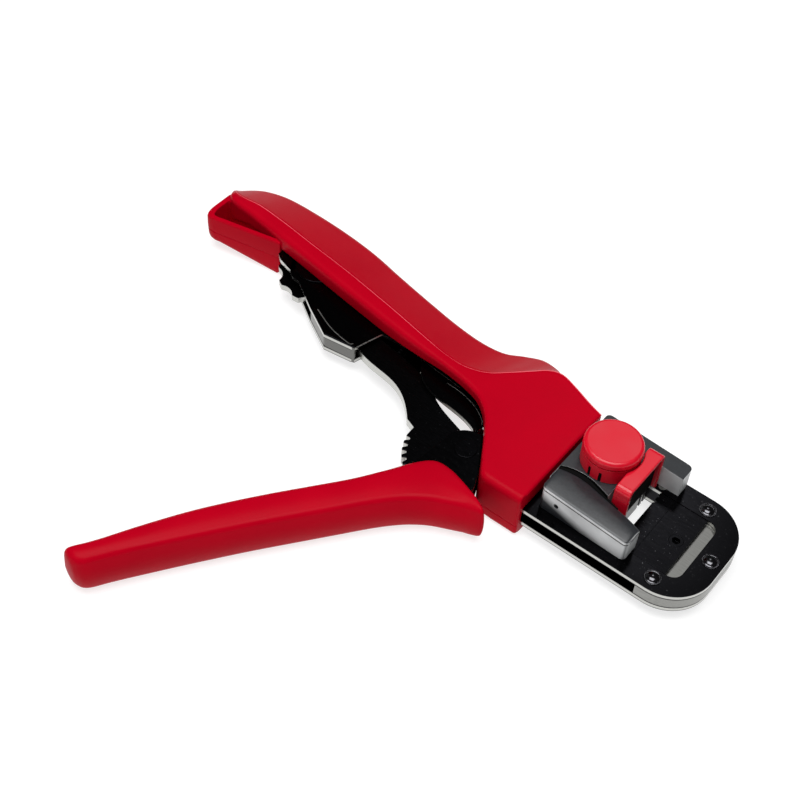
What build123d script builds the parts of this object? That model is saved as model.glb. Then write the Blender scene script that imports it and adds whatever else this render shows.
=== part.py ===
from build123d import *
import os
from math import cos, hypot, radians, sin

# Hand crimping tool with a parallel die, a toggle linkage with a ratchet, and a locator on the head.
#
# Millimetres. X runs along the head from the tail of the fixed handle to the nose, +Y points away from
# the moving handle, Z is square to the side plates with z = 0 in the middle of the tool.
# The finished pieces are moved at the end, so that the origin is under the middle of the whole tool.

# Layers, as heights from the middle plane of the tool
GAP_HALF = 2.0              # half the gap between the two side plates
PLATE = 1.6                 # side plate thickness
LAYER_RUN = 0.1             # running gap between neighbouring layers
LEVER_PLATE = 1.8           # handle side plate thickness
STRUT_HALF = 1.7            # half the strut's thickness
RAM_HALF = 1.9              # half the ram's thickness
DIE_HALF = 3.5              # half the height of the dies, which stand in the plates' windows
PLATE_TOP = GAP_HALF + PLATE
LEVER_LOW = PLATE_TOP + LAYER_RUN
LEVER_TOP = LEVER_LOW + LEVER_PLATE

# Fits
PIN_RUN = 0.05              # radial clearance of a pin that something turns on
SLIDE_RUN = 0.2             # side clearance of what slides in the head
CLEAR = 0.3                 # clearance between neighbours that only pass each other

# Head, with the dies and the rivets placed from its front end
HEAD_END = 210.0            # front of the head, from the tail line
HEAD_HALF = 20.0            # half the head's width
HEAD_CORNER = 14.0          # radius of the two front corners
HEAD_BACK = 150.0           # where the head's near edge goes inside the housing
WINDOW_FRONT = HEAD_END - 8.0
WINDOW_HALF = 12.4          # half the width of the window for the dies, in both plates
WINDOW_CORNER = 3.5
SPACER_BACK = HEAD_END - 17.0       # the steel spacer closes the head's nose from here
SPACER_POCKET = HEAD_END - 12.0     # the die block bears on the spacer here
GUIDE_WIDE = 4.1            # width of the guide bars beside the dies
RIVET_R = 2.2
RIVET_HEAD_R = 2.6
RIVET_RISE = 0.25           # the rivets' heads stand this far out of the plates
NOSE_RIVETS = [(HEAD_END - 14.0, 15.7), (HEAD_END - 14.0, -15.7), (HEAD_END - 4.0, 0.0)]
DIE_SCREW_X = HEAD_END - 15.6
DIE_STEP = SPACER_POCKET - 11.1     # back of the fixed die insert
DIE_FRONT = DIE_STEP - 5.2          # face of the fixed die
RAM_TRAVEL_GAP = 4.35       # opening between the dies
DIE_LONG = 6.85             # length of the moving die
WINDOW_BACK = DIE_FRONT - 17.7
GUIDE_RIVET_R = 1.3
GUIDE_SIDE = WINDOW_HALF + GUIDE_WIDE / 2
GUIDE_RIVETS = [(x, y) for x in (DIE_FRONT - 14.7, DIE_FRONT - 0.7) for y in (GUIDE_SIDE, -GUIDE_SIDE)]
SPINE_RIVETS = [(66.0, 22.0), (98.0, 16.8), (130.0, 16.8)]
NEST_PLACES = [-10.0, -7.2, 8.3, 10.6]
NEST_RADII = [1.1, 0.8, 0.6, 0.45]

# Linkage: tail pin, strut, joint pin, ram pin
TAIL_PIN = (42.9, 18.4)
JOINT_PIN = (128.0, -13.8)
RAM_ARM = 10.5              # from the joint pin to the ram pin
RAM_ARM_ANGLE = 35.0        # its direction when the tool is open
CLOSING = 50.0              # the moving handle turns this far
TAIL_PIN_R = 3.0
JOINT_PIN_R = 2.6
RAM_PIN_R = 2.5
STRUT_LONG = hypot(JOINT_PIN[0] - TAIL_PIN[0], JOINT_PIN[1] - TAIL_PIN[1])
RAM_PIN = (
    JOINT_PIN[0] + RAM_ARM * cos(radians(RAM_ARM_ANGLE)),
    JOINT_PIN[1] + RAM_ARM * sin(radians(RAM_ARM_ANGLE)),
)

# Ratchet: teeth on the strut, on an arc about the joint pin
TEETH_R = 19.3
TEETH_FIRST = 195.0         # direction of the first tooth from the joint pin
TEETH_STEP = 8.6
TEETH_COUNT = 6
TOOTH_DEEP = 1.5
PAWL_PIN = (119.6, -39.4)
PAWL_PIN_R = 1.5
PAWL_TIP_GAP = 0.35         # the pawl rests this far off the tooth tips

# Adjusting wheel on the tail pin
WHEEL_R = 13.4
WHEEL_DIP = 1.5
WHEEL_LOBES = 10
SCALLOP_R = 4.2
WHEEL_LOW = -1.9
WHEEL_TOP = 0.5
TONGUE_LOW = 0.6            # the strut's thin end lies over the wheel from here up

# Housing shells of the fixed handle
SHELL_TOP = 9.7             # height of the housing over the middle of the tool
SHELL_LOW = 8.3             # and its depth below
SHELL_WALL = 1.8
SHELL_FRONT = 153.5
SHELL_HALF = 21.9           # half the housing's width at its front end
SHELL_EDGE = 1.6            # height of the far edge, where the long slope ends
RIM_LOW = 4.3               # the near wall ends here over the tail
RIM_HIGH = 6.0              # and here over the moving handle's plates
RIM_STEP_X = 93.0
TAIL_TOP = 6.8              # height of the tail block
TAIL_LOW = 4.2              # the tail block's underside is raised up to here
POCKET_FLOOR = 1.0
SCREW_R = 1.5
SCREW_HEAD_R = 2.9
SCREW_SEAT = 4.6            # depth of the screw heads' seat below the middle
SHELL_SCREWS = [(12.0, 31.0), (80.0, 19.3), (143.0, 16.0)]

# Moving handle
GRIP_TOP = 7.9
GRIP_LOW = 7.3
GRIP_ROUND = 3.4
GRIP_CAVITY = LEVER_TOP + 0.1
STRUT_BACK_R = 27.0         # the strut's back swings this far from the joint pin into the grip

# Locator on the head
DECK = 13.5                 # height of the locator's middle deck
ARM_BACK_TOP = 13.1
ARM_FRONT_TOP = 11.5
LOCATOR_BACK = SHELL_FRONT + 2.5
LOCATOR_FRONT = DIE_STEP - 0.5
LOCATOR_NEAR = -16.5
LOCATOR_FAR = 20.4
ARM_ROUND = 1.6
GROOVE = 0.4                # dark line between the near arm and the deck
DECK_NEAR = -11.5
DECK_FRONT = DIE_FRONT - 8.6
KNOB = (DIE_FRONT - 15.4, 4.8)
KNOB_R = 9.1
KNOB_TOP = 22.4
KNOB_DISC = 2.6             # thickness of the knob's top disc
KNOB_MARKS = (-103.0, -79.0)
POST_R = 2.4
BRIDGE_TRAVEL = 2.0
BRIDGE_TOP = 19.1
BRIDGE_BACK = DIE_FRONT - 7.3
BRIDGE_FRONT = DIE_FRONT - 2.2
BRIDGE_NEAR = -6.6
BRIDGE_FAR = 13.4
BRIDGE_LEG = 1.5            # thickness of the bridge's legs and roof
BRIDGE_CORNER = 2.0
BRIDGE_RUN = 0.9            # room between the bridge and the far arm


# shared shapes
def face(*points):
    """A flat face with straight sides."""
    return make_face(Polyline(*points, close=True))


def disc(place, radius):
    return Pos(place[0], place[1]) * Circle(radius)


def prism(sketch, low, high):
    """A flat outline raised from one height to another."""
    return Pos(0, 0, low) * extrude(sketch, high - low)


def layer(sketch, half):
    """A flat outline with the same thickness above and below the middle."""
    return prism(sketch, -half, half)


def pin(place, radius, low, high):
    return prism(disc(place, radius), low, high)


def flipped(part):
    """The same piece below the middle plane."""
    return mirror(part, about=Plane.XY)


def polar(centre, radius, angle):
    return (centre[0] + radius * cos(radians(angle)), centre[1] + radius * sin(radians(angle)))


def pins(places, radius, low, high):
    """Equal round pins as separate solids."""
    return [pin(place, radius, low, high) for place in places]


# frame: side plates, spacer, guides, spine
def head_outline():
    """The nose of the head, with its two round corners."""
    block = Pos((HEAD_BACK + HEAD_END) / 2, 0) * Rectangle(HEAD_END - HEAD_BACK, 2 * HEAD_HALF)
    corners = block.vertices().sort_by(Axis.X)[-2:]
    return fillet(corners, HEAD_CORNER)


def plate_outline():
    """One side plate from the nose to the tail, without its holes."""
    notch_front = RAM_PIN[0] + RAM_TRAVEL_GAP + RAM_PIN_R + 2.5
    near = Spline((95.0, 7.9), (106.0, -0.8), (116.0, -2.3), (124.3, -4.7))
    rest = Polyline(
        (124.3, -4.7), (125.6, -3.6), (125.6, 1.2), (notch_front, 1.2), (notch_front, -13.0),
        (HEAD_BACK - 8.0, -HEAD_HALF), (HEAD_BACK + 1.0, -HEAD_HALF), (HEAD_BACK + 1.0, HEAD_HALF),
        (124.0, 19.8), (104.0, 18.4), (88.0, 20.5), (55.0, 26.7), (31.0, 28.6), (29.0, 24.0),
        (36.4, 11.5), (39.1, 9.4), (42.4, 9.1), (44.4, 7.8), (52.9, 2.3), (64.1, -4.0),
        (75.3, -2.4), (78.2, 8.6), (92.0, 9.8), (95.0, 7.9),
    )
    return make_face(near + rest) + head_outline()


def clear_under_band():
    """The lower plate stops short here, so that light passes beside the strut."""
    return face((93.0, 8.6), (107.0, 6.6), (117.0, 5.0), (126.5, 1.3), (126.5, -8.0), (93.0, -8.0))


def bracket_line():
    """The wall that closes the tail's near side runs along this line, inside the plates' edge."""
    inset = BRACKET_WALL / 2
    return FilletPolyline(
        (52.9 + inset, 2.3 + inset * 0.7), (64.2, -4.0 + inset * 1.15), (75.3, -2.4 + inset),
        radius=1.5,
    )


BRACKET_WALL = 1.5


def side_plate():
    """A side plate, above the middle plane."""
    window = Pos((WINDOW_BACK + WINDOW_FRONT) / 2, 0) * RectangleRounded(
        WINDOW_FRONT - WINDOW_BACK, 2 * WINDOW_HALF, WINDOW_CORNER
    )
    plate = prism(plate_outline(), GAP_HALF, PLATE_TOP)
    plate -= prism(window, GAP_HALF, PLATE_TOP)
    plate -= layer(trace(bracket_line(), BRACKET_WALL), PLATE_TOP)
    for place in NOSE_RIVETS + SPINE_RIVETS:
        plate -= pin(place, RIVET_R, 0, PLATE_TOP)
    for place in GUIDE_RIVETS:
        plate -= pin(place, GUIDE_RIVET_R, 0, PLATE_TOP)
    for place in SHELL_SCREWS[1:]:
        plate -= pin(place, SCREW_R + CLEAR, 0, PLATE_TOP)
    plate -= pin(TAIL_PIN, TAIL_PIN_R, 0, PLATE_TOP)
    return plate


def tail_bracket():
    """Bent steel wall on the near side of the tail, as high as the two plates together."""
    return layer(trace(bracket_line(), BRACKET_WALL), PLATE_TOP)


def head_spacer():
    """Bright steel horseshoe between the plates at the nose, on which the die block bears."""
    nose = head_outline() & Pos((SPACER_BACK + HEAD_END) / 2, 0) * Rectangle(
        HEAD_END - SPACER_BACK, 2 * HEAD_HALF
    )
    pocket = Pos((SPACER_BACK + SPACER_POCKET) / 2 - 1, 0) * Rectangle(
        SPACER_POCKET - SPACER_BACK + 2, 2 * WINDOW_HALF
    )
    spacer = layer(nose - pocket, GAP_HALF)
    for place in NOSE_RIVETS:
        spacer -= pin(place, RIVET_R, -GAP_HALF, GAP_HALF)
    return spacer


def guide_bars():
    """Two bars between the plates that guide the ram and the dies at their sides."""
    long = SPACER_BACK - HEAD_BACK
    middle = WINDOW_HALF + GUIDE_WIDE / 2
    bars = []
    for side in (1, -1):
        bar = layer(Pos(HEAD_BACK + long / 2, side * middle) * Rectangle(long, GUIDE_WIDE), GAP_HALF)
        for place in GUIDE_RIVETS:
            bar -= pin(place, GUIDE_RIVET_R, -GAP_HALF, GAP_HALF)
        bars.append(bar)
    return bars


def spine_bar():
    """Spacer that joins the two plates along the fixed handle."""
    bar = layer(
        face((58.5, 21.0), (88.0, 15.2), (104.0, 14.0), (138.0, 14.2), (138.0, 19.8),
             (124.0, 19.8), (104.0, 18.4), (88.0, 20.5), (58.5, 26.0)),
        GAP_HALF,
    )
    for place in SPINE_RIVETS:
        bar -= pin(place, RIVET_R, -GAP_HALF, GAP_HALF)
    bar -= pin(SHELL_SCREWS[1], SCREW_R + CLEAR, -GAP_HALF, GAP_HALF)
    return bar


def rivets(places):
    """Rivets through both plates, with low round heads."""
    made = []
    for place in places:
        rivet = pin(place, RIVET_R, -PLATE_TOP, PLATE_TOP)
        for low, high in ((PLATE_TOP, PLATE_TOP + RIVET_RISE), (-PLATE_TOP - RIVET_RISE, -PLATE_TOP)):
            rivet += pin(place, RIVET_HEAD_R, low, high)
        made.append(rivet)
    return made


def tail_pin():
    """Pin of the strut and the adjusting wheel, with its two wide flat heads."""
    part = pin(TAIL_PIN, TAIL_PIN_R, -PLATE_TOP, PLATE_TOP)
    part += pin(TAIL_PIN, 7.6, PLATE_TOP, PLATE_TOP + 0.5)
    part += pin(TAIL_PIN, 7.6, -PLATE_TOP - 0.5, -PLATE_TOP)
    return part


def adjusting_wheel():
    """Star wheel with scallops all round."""
    wheel = disc((0, 0), WHEEL_R)
    for turn in range(WHEEL_LOBES):
        wheel -= disc(polar((0, 0), WHEEL_R - WHEEL_DIP + SCALLOP_R, 360 * turn / WHEEL_LOBES), SCALLOP_R)
    wheel -= disc((0, 0), TAIL_PIN_R + PIN_RUN)
    return Pos(TAIL_PIN[0], TAIL_PIN[1]) * prism(Rot(0, 0, 5) * wheel, WHEEL_LOW, WHEEL_TOP)


# linkage
def strut_outline():
    """Strut from the tail pin to the joint pin, without its teeth."""
    near = Spline((77.0, -0.9), (86.4, -2.8), (92.5, -3.9), (98.4, -6.7), (102.7, -10.3), (105.4, -13.2))
    first = polar(JOINT_PIN, TEETH_R, TEETH_FIRST - 2)
    last = polar(JOINT_PIN, TEETH_R, TEETH_FIRST + TEETH_STEP * (TEETH_COUNT - 0.4))
    middle = polar(JOINT_PIN, TEETH_R, TEETH_FIRST + TEETH_STEP * (TEETH_COUNT - 2.4) / 2)
    far = Spline((122.2, -6.6), (114.7, -4.2), (108.8, -1.8), (103.0, 1.9), (92.0, 5.6), (76.0, 8.2))
    edge = Curve() + [
        near,
        Polyline((105.4, -13.2), (109.0, -14.6), first),
        ThreePointArc(first, middle, last),
        Polyline(last, polar(JOINT_PIN, 6.0, 250), (JOINT_PIN[0], JOINT_PIN[1] - 3.0),
                 (JOINT_PIN[0] + 1.0, JOINT_PIN[1] + 3.0), (122.2, -6.6)),
        far,
        Polyline((76.0, 8.2), (52.0, 21.2), TAIL_PIN, (46.0, 12.6), (77.0, -0.9)),
    ]
    return make_face(edge)


def strut():
    """Pressed link with the ratchet teeth on its end and a thin tongue over the adjusting wheel."""
    outline = strut_outline() + disc(JOINT_PIN, 4.6) + disc(TAIL_PIN, 6.6)
    for tooth in range(TEETH_COUNT):
        turn = TEETH_FIRST + TEETH_STEP * tooth
        outline -= face(
            polar(JOINT_PIN, TEETH_R + 0.6, turn - 0.2),
            polar(JOINT_PIN, TEETH_R - TOOTH_DEEP, turn + 0.9),
            polar(JOINT_PIN, TEETH_R - TOOTH_DEEP, turn + 3.0),
            polar(JOINT_PIN, TEETH_R + 0.6, turn + 6.2),
        )
    outline -= disc(JOINT_PIN, JOINT_PIN_R + PIN_RUN)
    outline -= disc(TAIL_PIN, TAIL_PIN_R + PIN_RUN)
    part = layer(outline, STRUT_HALF)
    return part - pin(TAIL_PIN, WHEEL_R + CLEAR, -STRUT_HALF, TONGUE_LOW)


def lever_outline():
    """Side plate of the moving handle: eyes at the joint pin and ram pin, and a tail in the grip."""
    body = make_face(
        Curve() + [
            Polyline((120.6, -15.5), (119.2, -27.5), (109.4, -47.5), (94.6, -68.2), (86.0, -82.5)),
            Polyline((86.0, -82.5), (89.0, -87.0), (97.8, -75.6), (112.6, -55.4), (124.0, -42.6),
                     (131.0, -37.0), (139.0, -32.0), (138.5, -24.0), (134.5, -14.5),
                     JOINT_PIN, (120.6, -15.5)),
        ]
    )
    web = Pos((JOINT_PIN[0] + RAM_PIN[0]) / 2, (JOINT_PIN[1] + RAM_PIN[1]) / 2) * Rot(
        0, 0, RAM_ARM_ANGLE
    ) * Rectangle(RAM_ARM, 9.0)
    return body + disc(JOINT_PIN, 7.4) + disc(RAM_PIN, 4.8) + web


def lever_plate():
    """A handle side plate, above the middle plane."""
    plate = prism(lever_outline(), LEVER_LOW, LEVER_TOP)
    for place, radius in ((JOINT_PIN, JOINT_PIN_R), (RAM_PIN, RAM_PIN_R), (PAWL_PIN, PAWL_PIN_R)):
        plate -= pin(place, radius, LEVER_LOW, LEVER_TOP)
    for place in LEVER_RIVETS:
        plate -= pin(place, RIVET_R, LEVER_LOW, LEVER_TOP)
    return plate


LEVER_RIVETS = [(108.5, -54.0), (96.5, -71.5)]
CORE_BACK = 36.8            # the handle's core starts this far from the joint pin


def lever_core():
    """Solid bar between the handle's side plates, behind the pawl."""
    core = lever_outline() - disc(JOINT_PIN, CORE_BACK)
    part = layer(core, LEVER_LOW)
    for place in LEVER_RIVETS:
        part -= pin(place, RIVET_R, -LEVER_LOW, LEVER_LOW)
    return part


def lever_rivets():
    return pins(LEVER_RIVETS, RIVET_R, -LEVER_TOP, LEVER_TOP)


def joint_pin():
    """Pin between the strut and the moving handle, with flat heads."""
    part = pin(JOINT_PIN, JOINT_PIN_R, -LEVER_TOP, LEVER_TOP)
    part += pin(JOINT_PIN, JOINT_PIN_R + 0.9, LEVER_TOP, LEVER_TOP + 0.25)
    part += pin(JOINT_PIN, JOINT_PIN_R + 0.9, -LEVER_TOP - 0.25, -LEVER_TOP)
    return part


def joint_washers():
    """Two rings that keep the strut in the middle between the handle's plates."""
    low = STRUT_HALF + PIN_RUN
    ring = disc(JOINT_PIN, 4.4) - disc(JOINT_PIN, JOINT_PIN_R)
    upper = prism(ring, low, LEVER_LOW)
    return [upper, flipped(upper)]


def ram_pin():
    return pin(RAM_PIN, RAM_PIN_R, -LEVER_TOP, LEVER_TOP)


def pawl():
    """Pawl with a bevelled tip, which drags over the strut's teeth as the handle closes."""
    tip = polar(JOINT_PIN, TEETH_R + PAWL_TIP_GAP, 245.6)
    outline = disc(PAWL_PIN, 3.0) + face(
        (PAWL_PIN[0] - 2.9, PAWL_PIN[1] + 0.6), (PAWL_PIN[0] - 2.4, PAWL_PIN[1] + 4.4), tip,
        (tip[0] + 1.7, tip[1] - 1.0), (PAWL_PIN[0] + 2.9, PAWL_PIN[1] + 0.6),
    )
    outline -= disc(PAWL_PIN, PAWL_PIN_R + PIN_RUN)
    return layer(outline, STRUT_HALF)


def pawl_pin():
    part = pin(PAWL_PIN, PAWL_PIN_R, -LEVER_TOP, LEVER_TOP)
    collar = disc(PAWL_PIN, PAWL_PIN_R + 1.2)
    part += prism(collar, STRUT_HALF + LAYER_RUN, LEVER_LOW)
    part += prism(collar, -LEVER_LOW, -STRUT_HALF - LAYER_RUN)
    return part


def coil(radius, wire, long, turns):
    """A coil spring along +Z from the origin."""
    path = Helix(pitch=long / turns, height=long, radius=radius)
    return sweep(Plane(path @ 0, z_dir=path % 0) * Circle(wire / 2), path)


def pawl_spring():
    """Small coil between the pawl and the handle's core."""
    long = 5.6
    place = Plane((PAWL_PIN[0] - 0.2, PAWL_PIN[1] - 3.35, 0), z_dir=(-0.32, -1, 0))
    return place * coil(1.1, 0.45, long, 5)


def return_spring():
    """Coil that opens the handles: it presses the strut away from the spine bar."""
    return Plane((86.0, 7.35, 0), z_dir=(0, 1, 0)) * coil(1.35, 0.5, 7.6, 6)


def corners_at(sketch, *places):
    """The corners of a flat outline that lie at the given places."""
    return [v for v in sketch.vertices() if any(hypot(v.X - x, v.Y - y) < 0.5 for x, y in places)]


def grip_outline():
    """The moving handle's grip seen from above, with its corners rounded."""
    near = Spline((75.4, -114.8), (86.0, -97.8), (100.3, -77.6), (115.5, -57.2), (126.0, -44.2),
                  (134.0, -37.8), (147.2, -31.8))
    far = Spline((119.0, -26.4), (106.5, -47.0), (91.4, -67.4), (78.8, -86.0), (72.0, -99.8),
                 (65.4, -112.0))
    shoulder = [(137.5, -24.6), (125.5, -21.8), (119.0, -26.4)]
    tip = [(62.8, -117.2), (72.4, -120.2)]
    sketch = make_face(Curve() + [
        near,
        Polyline((147.2, -31.8), *shoulder),
        far,
        Polyline((65.4, -112.0), *tip, (75.4, -114.8)),
    ])
    sketch = fillet(corners_at(sketch, *tip), 3.9)
    sketch = fillet(corners_at(sketch, *shoulder), 4.0)
    return fillet(corners_at(sketch, (147.2, -31.8)), 1.5)


def moving_grip():
    """Moulded grip, with a slot for the handle's plates and room for the strut's teeth."""
    part = prism(grip_outline(), -GRIP_LOW, GRIP_TOP)
    rims = part.edges().filter_by(lambda e: e.center().Z > GRIP_TOP - 0.01 or e.center().Z < 0.01 - GRIP_LOW)
    part = fillet(rims, GRIP_ROUND)
    slot = offset(lever_outline(), 0.1) + disc(JOINT_PIN, TEETH_R + 0.9)
    slot += disc(JOINT_PIN, STRUT_BACK_R) & Pos(108, -34) * Rectangle(24, 30)
    return part - layer(slot, GRIP_CAVITY)


# ram and dies
def ram():
    """Slide between the plates. Its open notch takes the ram pin, with room for the pin's arc."""
    back = RAM_PIN[0] - 1.0
    notch_half = RAM_PIN_R + 0.4
    nose = Pos((back + 144.0) / 2, RAM_PIN[1]) * Rectangle(144.0 - back, 2 * notch_half + 4.4)
    bar_front = DIE_FRONT - RAM_TRAVEL_GAP - DIE_LONG
    bar = Pos((142.0 + bar_front) / 2, 0) * Rectangle(bar_front - 142.0, 2 * (WINDOW_HALF - SLIDE_RUN))
    bar = fillet(bar.vertices().sort_by(Axis.X)[:2], 3.0)
    deep = RAM_PIN[0] + 1.4
    notch = disc((deep, RAM_PIN[1]), notch_half)
    notch += Pos(deep - 4.0, RAM_PIN[1]) * Rectangle(8.0, 2 * notch_half)
    return layer(nose + bar - notch, RAM_HALF)


def nests(x, part):
    """Half-round nests for the contacts, across the face at x."""
    for place, radius in zip(NEST_PLACES, NEST_RADII):
        part -= pin((x, place), radius, -DIE_HALF, DIE_HALF)
    return part


def block(back, front, half_wide, half_high):
    return Pos((back + front) / 2, 0, 0) * Box(front - back, 2 * half_wide, 2 * half_high)


def moving_die():
    front = DIE_FRONT - RAM_TRAVEL_GAP
    return nests(front, block(front - DIE_LONG, front, WINDOW_HALF - SLIDE_RUN, DIE_HALF))


def fixed_die():
    return nests(DIE_FRONT, block(DIE_FRONT, DIE_STEP, WINDOW_HALF - SLIDE_RUN, DIE_HALF))


def die_block():
    """Block behind the fixed die, with the hole of its screw."""
    part = block(DIE_STEP, SPACER_POCKET, WINDOW_HALF - SLIDE_RUN, DIE_HALF)
    return part - pin((DIE_SCREW_X, 0), 2.2, -DIE_HALF, DIE_HALF)


def die_screw():
    """Socket screw that holds the fixed die."""
    part = pin((DIE_SCREW_X, 0), 2.2, -DIE_HALF, DIE_HALF)
    socket = Pos(DIE_SCREW_X, 0) * RegularPolygon(1.3, 6)
    return part - prism(socket, DIE_HALF - 1.6, DIE_HALF)


# housing shells
def shell_outline():
    """The fixed handle's housing from above, without the tail block."""
    near = Spline((1.5, 20.2), (23.0, 17.3), (48.3, 13.5), (76.6, 9.2), (93.6, 7.2), (106.0, 6.1),
                  (117.0, 4.1), (123.0, 0.9), (127.6, -4.0), (132.5, -12.2))
    far = Spline((131.0, 35.0), (121.5, 35.2), (114.6, 31.0), (106.0, 28.9), (96.7, 29.4),
                 (74.4, 33.2), (47.1, 38.9), (24.4, 40.3), (7.0, 39.0), (-0.7, 34.4), (-3.4, 28.0))
    edge = Curve() + [
        near,
        Polyline((132.5, -12.2), (139.0, -SHELL_HALF), (SHELL_FRONT, -SHELL_HALF),
                 (SHELL_FRONT, SHELL_HALF), (134.4, 28.6), (131.0, 35.0)),
        far,
        Line((-3.4, 28.0), (1.5, 20.2)),
    ]
    sketch = make_face(edge)
    sketch = fillet(corners_at(sketch, (131.0, 35.0)), 2.5)
    return fillet(corners_at(sketch, (134.4, 28.6), (139.0, -SHELL_HALF)), 3.0)


SLOPE_STATIONS = [
    # place along the handle, y of the ridge, y of the far edge
    (-8.0, 21.6, 33.0), (3.0, 23.0, 37.6), (14.0, 23.8, 40.2), (36.0, 20.8, 40.1),
    (63.0, 17.2, 35.8), (88.0, 12.4, 30.6), (101.5, 9.9, 29.2), (110.0, 9.8, 29.6),
    (117.0, 12.8, 32.2), (124.0, 19.4, 35.4), (130.5, 26.0, 35.6), (134.4, 28.9, 35.8),
]


def slope_cutter():
    """What lies above the long slope of the handle's far side, lofted through cross sections."""
    sections = []
    for x, ridge, edge in SLOPE_STATIONS:
        lean = (edge - ridge) / (SHELL_TOP - SHELL_EDGE)
        over, under = 2.5, 1.2
        sections.append(
            make_face(Polyline(
                (x, ridge - over * lean, SHELL_TOP + over), (x, edge + under * lean, SHELL_EDGE - under),
                (x, 52.0, SHELL_EDGE - under), (x, 52.0, SHELL_TOP + over), close=True,
            ))
        )
    return loft(sections)


def tail_block(height, open_pocket):
    """Block at the tail. The upper one has an open three-cornered pocket."""
    outline = face((4.0, 31.0), (28.0, 26.0), (28.0, 16.0), (0.3, 9.5), (-1.7, 13.0), (-1.5, 28.0))
    outline = fillet(corners_at(outline, (0.3, 9.5), (-1.7, 13.0)), 1.8)
    part = prism(outline, 0, height)
    rims = part.edges().filter_by(lambda e: abs(e.center().Z - height) < 0.01)
    part = fillet(rims.filter_by(lambda e: e.center().Y < 24.0 and e.center().X < 27.0), 0.9)
    if open_pocket:
        pocket = face((1.0, 11.6), (25.6, 17.2), (12.0, 18.8), (5.0, 18.8), (1.0, 20.4))
        pocket = fillet(corners_at(pocket, (1.0, 11.6), (1.0, 20.4)), 0.8)
        return part - prism(pocket, POCKET_FLOOR, SHELL_TOP)
    heel = Pos(0, 30, 0) * extrude(
        Plane.XZ * face((17.0, height - 1.0), (28.0, height - 1.0), (28.0, SHELL_LOW), (26.5, SHELL_LOW)), 16
    )
    return part + heel


def shell_half(depth, rounding, open_pocket):
    """Upper housing shell: rounded near edge, long far slope, and its hollows."""
    part = prism(shell_outline(), 0, depth)
    rims = part.edges().filter_by(lambda e: abs(e.center().Z - depth) < 0.01)
    part = fillet(rims.filter_by(lambda e: 1.0 < e.center().X < SHELL_FRONT - 0.1), rounding)
    part -= Pos(0, 0, depth - SHELL_TOP) * slope_cutter()
    part += tail_block(TAIL_TOP if open_pocket else TAIL_LOW, open_pocket)
    plates = offset(plate_outline(), 0.12) + Pos(SHELL_FRONT, 0) * Rectangle(9, 2 * (HEAD_HALF + 0.12))
    part -= prism(plates, 0, PLATE_TOP)
    part -= pin(TAIL_PIN, WHEEL_R + 0.6, 0, GAP_HALF + 0.2)
    part -= pin(TAIL_PIN, 8.0, 0, PLATE_TOP + 0.7)
    mechanism = face(
        (98.0, 9.2), (106.0, 8.3), (117.8, 6.3), (124.8, 2.3), (129.6, -3.0), (134.4, -11.2),
        (141.0, -19.9), (150.0, -19.9), (150.0, 10.5), (124.0, 10.5), (98.0, 10.5),
    )
    part -= prism(mechanism, 0, depth - SHELL_WALL)
    low_rim = face((28.0, -30.0), (RIM_STEP_X, -30.0), (RIM_STEP_X, 11.0), (28.0, 20.0))
    high_rim = face((RIM_STEP_X, 11.0), (RIM_STEP_X, -30.0), (137.5, -30.0), (139.2, -21.6),
                    (142.0, -19.9), (131.0, 3.0), (118.0, 9.0))
    part -= prism(low_rim, 0, RIM_LOW)
    part -= prism(high_rim, 0, RIM_HIGH)
    part -= prism(face((28.0, 10.0), (30.0, 10.0), (30.0, 21.5), (28.0, 21.5)), 0, PLATE_TOP)
    for place in SPINE_RIVETS:
        part -= pin(place, RIVET_HEAD_R + CLEAR, 0, PLATE_TOP + RIVET_RISE + CLEAR)
    return part


def shell_top():
    part = shell_half(SHELL_TOP, 2.0, True)
    for place in SHELL_SCREWS:
        part -= pin(place, SCREW_R, 0, 5.0)
    return part


def shell_bottom():
    part = flipped(shell_half(SHELL_LOW, 1.5, False))
    for place in SHELL_SCREWS:
        part -= pin(place, SCREW_R, -SHELL_LOW, 0)
        part -= pin(place, SCREW_HEAD_R + 0.1, -SHELL_LOW, -SCREW_SEAT)
    return part


def shell_screws():
    """Screws from the back, with cross-recess heads."""
    made = []
    for place in SHELL_SCREWS:
        low = -SCREW_SEAT - 2.0
        screw = pin(place, SCREW_HEAD_R, low, -SCREW_SEAT) + pin(place, SCREW_R, -SCREW_SEAT, 5.0)
        for turn in (0, 90):
            slot = Pos(place[0], place[1]) * Rot(0, 0, turn) * Rectangle(3.4, 0.7)
            screw -= prism(slot, low, low + 1.0)
        made.append(screw)
    return made


# locator
def near_arm_face(spread):
    """The near arm from above, with a curved inner edge, which the spread moves towards the deck."""
    front = LOCATOR_FRONT
    back = LOCATOR_BACK + 0.2
    inner = Spline(*[(x, y + spread) for x, y in (
        (back, -6.6), (back + 5.0, -5.0), (back + 9.8, -5.0), (back + 17.3, BRIDGE_NEAR - 0.5), (front - 5.0, -8.6),
        (front, -9.9),
    )])
    rest = Polyline((front, spread - 9.9), (front, LOCATOR_NEAR), (back, LOCATOR_NEAR + 0.6),
                    (back, spread - 6.6))
    return fillet(corners_at(make_face(Curve() + [inner, rest]), (front, LOCATOR_NEAR),
                             (back, LOCATOR_NEAR + 0.6)), ARM_ROUND)


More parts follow.
